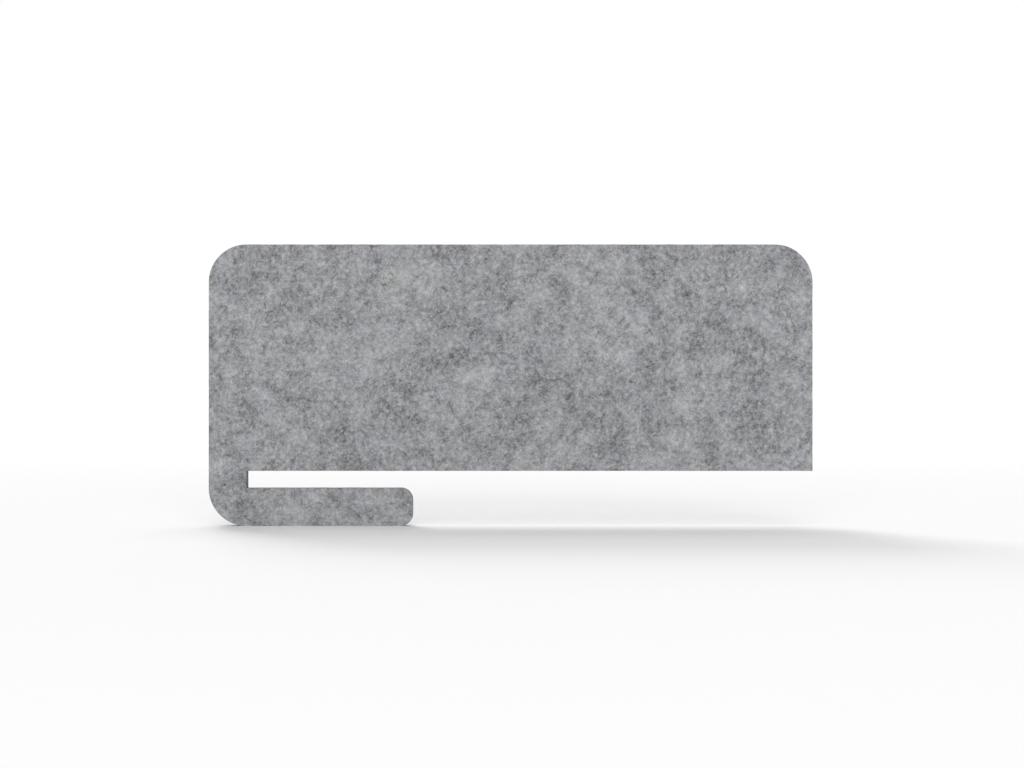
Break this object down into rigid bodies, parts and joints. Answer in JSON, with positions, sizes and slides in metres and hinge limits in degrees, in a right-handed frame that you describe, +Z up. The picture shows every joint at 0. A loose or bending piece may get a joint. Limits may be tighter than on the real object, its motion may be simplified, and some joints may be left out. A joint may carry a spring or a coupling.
{
  "type": "acoustic divider screen",
  "caption": "Flat felt acoustic screen that slips onto a desktop: a rounded panel with a lower corner cut as a hook, whose slot takes the edge of the desk.",
  "frame": {"origin": "corner of the slot where the desktop's upper edge meets the screen, in the middle of the thickness", "axes": "+X along the screen from the slot's closed end to the free end, +Y through the thickness from the front board to the rear board, +Z up from the desktop"},
  "size_m": [0.8, 0.0242, 0.373],
  "materials": {
    "felt": "needle-punched grey marl felt board, matt and fibrous",
    "bonding_web": "hot-melt web, matt"
  },
  "bodies": {
    "root": {"front_felt_board": "felt", "rear_felt_board": "felt", "bonding_web": "bonding_web"}
  },
  "joints": []
}
